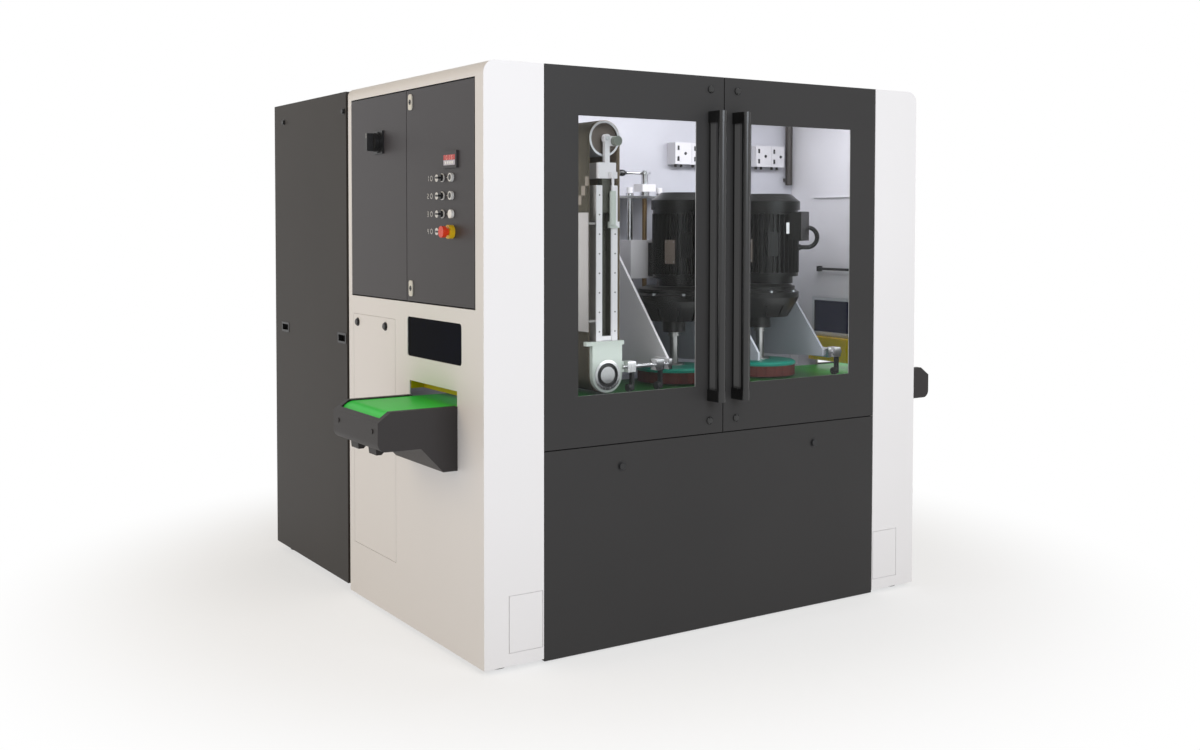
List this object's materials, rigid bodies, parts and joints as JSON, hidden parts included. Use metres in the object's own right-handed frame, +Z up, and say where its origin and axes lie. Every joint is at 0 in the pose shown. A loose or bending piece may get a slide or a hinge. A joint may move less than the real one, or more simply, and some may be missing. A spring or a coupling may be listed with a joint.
{
  "type": "sheet metal deburring machine",
  "caption": "Enclosed deburring and edge-rounding machine: feed belt through a slot under a belt grinding unit and disc units, double front doors with windows, side control cabinet.",
  "frame": {"origin": "on the floor, under the middle of the bounding box", "axes": "+X with the feed direction (left to right seen from the front doors), +Y from the front doors to the rear, +Z up"},
  "size_m": [2.628, 2.1459, 2.065],
  "materials": {
    "white_paint": "fine-textured powder coat",
    "dark_paint": "fine-textured powder coat",
    "dark_warm_paint": "fine-textured powder coat",
    "frame_paint": "satin paint",
    "zinc_steel": "zinc plated",
    "bright_steel": "ground",
    "chrome": "polished",
    "black_plastic": "matt moulded",
    "black_aluminium": "black painted casting",
    "aluminium": "satin",
    "green_belt": "smooth, slightly glossy",
    "black_rubber": "matt",
    "clear_pane": "clear polycarbonate",
    "dark_pane": "tinted",
    "yellow_paint": "gloss",
    "red_plastic": "gloss",
    "grey_plastic": "matt",
    "switchgear": "matt",
    "abrasive": "coated abrasive cloth"
  },
  "bodies": {
    "machine": {"machine_frame": "frame_paint", "levelling_feet": "black_rubber", "left_side_shell": "white_paint", "right_side_shell": "white_paint", "roof_panel": "white_paint", "lower_front_panel": "dark_paint", "panel_fittings": "black_plastic", "service_covers": "white_paint", "side_window_panes": "dark_pane", "rear_panels": "dark_warm_paint", "chamber_back_plate": "zinc_steel", "chamber_liner": "zinc_steel", "conveyor_bed": "frame_paint", "feed_belt": "green_belt", "infeed_cover": "dark_paint", "outfeed_cover": "dark_paint", "slot_guards": "yellow_paint", "cabinet_box": "frame_paint", "cabinet_gear": "switchgear", "door_hinges": "zinc_steel", "grinder_frame": "frame_paint", "abrasive_belt": "abrasive", "grinder_motor": "black_aluminium", "slide_frames": "white_paint"},
    "left_door": {"left_front_door": "dark_paint", "left_door_pane": "clear_pane", "left_door_handle": "black_aluminium"},
    "right_door": {"right_front_door": "dark_paint", "right_door_pane": "clear_pane", "right_door_handle": "black_aluminium"},
    "control_door": {"cabinet_front_door": "dark_paint", "panel_indicators": "grey_plastic"},
    "switch_door": {"cabinet_rear_door": "dark_paint", "main_switch_base": "black_plastic"},
    "upper_lock": {"upper_door_lock": "chrome"},
    "lower_lock": {"lower_door_lock": "chrome"},
    "switch_knob": {"main_switch_knob": "black_plastic"},
    "estop": {"estop_button": "red_plastic"},
    "selector_knob_1": {"selector_1": "black_plastic"},
    "selector_knob_2": {"selector_2": "black_plastic"},
    "selector_knob_3": {"selector_3": "black_plastic"},
    "selector_knob_4": {"selector_4": "black_plastic"},
    "button_1": {"push_button_1": "black_plastic"},
    "button_2": {"push_button_2": "black_plastic"},
    "feed_drive": {"drive_roller": "bright_steel"},
    "feed_idler": {"idler_roller": "bright_steel"},
    "contact": {"contact_roller": "black_rubber"},
    "yoke": {"tension_yoke": "aluminium"},
    "tension": {"tension_roller": "aluminium"},
    "tracking": {"tracking_knob": "black_plastic"},
    "unit_1": {"carriage_1": "white_paint", "motor_1": "black_aluminium"},
    "unit_2": {"carriage_2": "white_paint", "motor_2": "black_aluminium"},
    "disc_1": {"spindle_1": "bright_steel", "abrasive_disc_1": "abrasive"},
    "disc_2": {"spindle_2": "bright_steel", "abrasive_disc_2": "abrasive"},
    "crank_1": {"height_crank_1": "bright_steel"},
    "crank_2": {"height_crank_2": "bright_steel"}
  },
  "joints": [
    {"name": "left_door_hinge", "type": "hinge", "parent": "machine", "child": "left_door", "pos_m": [-0.766, -0.9865, 1.401], "axis": [0, 0, -1], "range_deg": [0, 110]},
    {"name": "right_door_hinge", "type": "hinge", "parent": "machine", "child": "right_door", "pos_m": [0.766, -0.9865, 1.401], "axis": [0, 0, 1], "range_deg": [0, 110]},
    {"name": "control_door_hinge", "type": "hinge", "parent": "machine", "child": "control_door", "pos_m": [-1.0055, -0.919, 1.62], "axis": [0, 0, 1], "range_deg": [0, 110]},
    {"name": "switch_door_hinge", "type": "hinge", "parent": "machine", "child": "switch_door", "pos_m": [-1.0055, 0.123, 1.62], "axis": [0, 0, -1], "range_deg": [0, 110]},
    {"name": "upper_lock_turn", "type": "hinge", "parent": "control_door", "child": "upper_lock", "pos_m": [-1.014, -0.428, 1.964], "axis": [1, 0, 0], "range_deg": [0, 90]},
    {"name": "lower_lock_turn", "type": "hinge", "parent": "control_door", "child": "lower_lock", "pos_m": [-1.014, -0.428, 1.28], "axis": [1, 0, 0], "range_deg": [0, 90]},
    {"name": "main_switch_turn", "type": "hinge", "parent": "switch_door", "child": "switch_knob", "pos_m": [-1.028, -0.139, 1.831], "axis": [1, 0, 0], "range_deg": [0, 90]},
    {"name": "estop_press", "type": "slide", "parent": "control_door", "child": "estop", "axis": [1, 0, 0], "range_m": [0, 0.006]},
    {"name": "selector_turn_1", "type": "hinge", "parent": "control_door", "child": "selector_knob_1", "pos_m": [-1.018, -0.691, 1.68], "axis": [1, 0, 0], "range_deg": [0, 90]},
    {"name": "selector_turn_2", "type": "hinge", "parent": "control_door", "child": "selector_knob_2", "pos_m": [-1.018, -0.691, 1.617], "axis": [1, 0, 0], "range_deg": [0, 90]},
    {"name": "selector_turn_3", "type": "hinge", "parent": "control_door", "child": "selector_knob_3", "pos_m": [-1.018, -0.691, 1.553], "axis": [1, 0, 0], "range_deg": [0, 90]},
    {"name": "selector_turn_4", "type": "hinge", "parent": "control_door", "child": "selector_knob_4", "pos_m": [-1.018, -0.691, 1.491], "axis": [1, 0, 0], "range_deg": [0, 90]},
    {"name": "button_press_1", "type": "slide", "parent": "control_door", "child": "button_1", "axis": [1, 0, 0], "range_m": [0, 0.004], "stiffness_N_per_m": 300},
    {"name": "button_press_2", "type": "slide", "parent": "control_door", "child": "button_2", "axis": [1, 0, 0], "range_m": [0, 0.004], "stiffness_N_per_m": 300},
    {"name": "feed_drive_spin", "type": "hinge", "parent": "machine", "child": "feed_drive", "pos_m": [1.244, -0.604, 0.8317], "axis": [0, 1, 0], "continuous": true},
    {"name": "feed_idler_spin", "type": "hinge", "parent": "machine", "child": "feed_idler", "pos_m": [-1.244, -0.604, 0.8317], "axis": [0, 1, 0], "continuous": true},
    {"name": "contact_roller_spin", "type": "hinge", "parent": "machine", "child": "contact", "pos_m": [-0.4, -0.604, 0.9583], "axis": [0, 1, 0], "continuous": true},
    {"name": "belt_tension_slide", "type": "slide", "parent": "machine", "child": "yoke", "axis": [0, 0, 1], "range_m": [-0.02, 0], "deforming": ["abrasive_belt"]},
    {"name": "tension_roller_spin", "type": "hinge", "parent": "yoke", "child": "tension", "pos_m": [-0.4, -0.604, 1.834], "axis": [0, 1, 0], "continuous": true},
    {"name": "tracking_knob_turn", "type": "hinge", "parent": "yoke", "child": "tracking", "pos_m": [-0.368, -0.823, 1.825], "axis": [0, 1, 0], "range_deg": [-180, 180]},
    {"name": "unit_slide_1", "type": "slide", "parent": "machine", "child": "unit_1", "axis": [0, 0, 1], "range_m": [-0.005, 0.04]},
    {"name": "disc_spin_1", "type": "hinge", "parent": "unit_1", "child": "disc_1", "pos_m": [0.058, -0.604, 0.921], "axis": [0, 0, 1], "continuous": true},
    {"name": "crank_turn_1", "type": "hinge", "parent": "machine", "child": "crank_1", "pos_m": [0.058, -0.395, 1.727], "axis": [0, 0, -1], "range_deg": [-365, 2885]},
    {"name": "unit_slide_2", "type": "slide", "parent": "machine", "child": "unit_2", "axis": [0, 0, 1], "range_m": [-0.005, 0.04]},
    {"name": "disc_spin_2", "type": "hinge", "parent": "unit_2", "child": "disc_2", "pos_m": [0.506, -0.604, 0.921], "axis": [0, 0, 1], "continuous": true},
    {"name": "crank_turn_2", "type": "hinge", "parent": "machine", "child": "crank_2", "pos_m": [0.506, -0.395, 1.727], "axis": [0, 0, -1], "range_deg": [-365, 2885]}
  ],
  "couplings": [
    {"joint": "feed_idler_spin", "follows": "feed_drive_spin", "ratio": 1},
    {"joint": "tension_roller_spin", "follows": "contact_roller_spin", "ratio": 1},
    {"joint": "crank_turn_1", "follows": "unit_slide_1", "rad_per_m": 1256.6},
    {"joint": "crank_turn_2", "follows": "unit_slide_2", "rad_per_m": 1256.6}
  ]
}
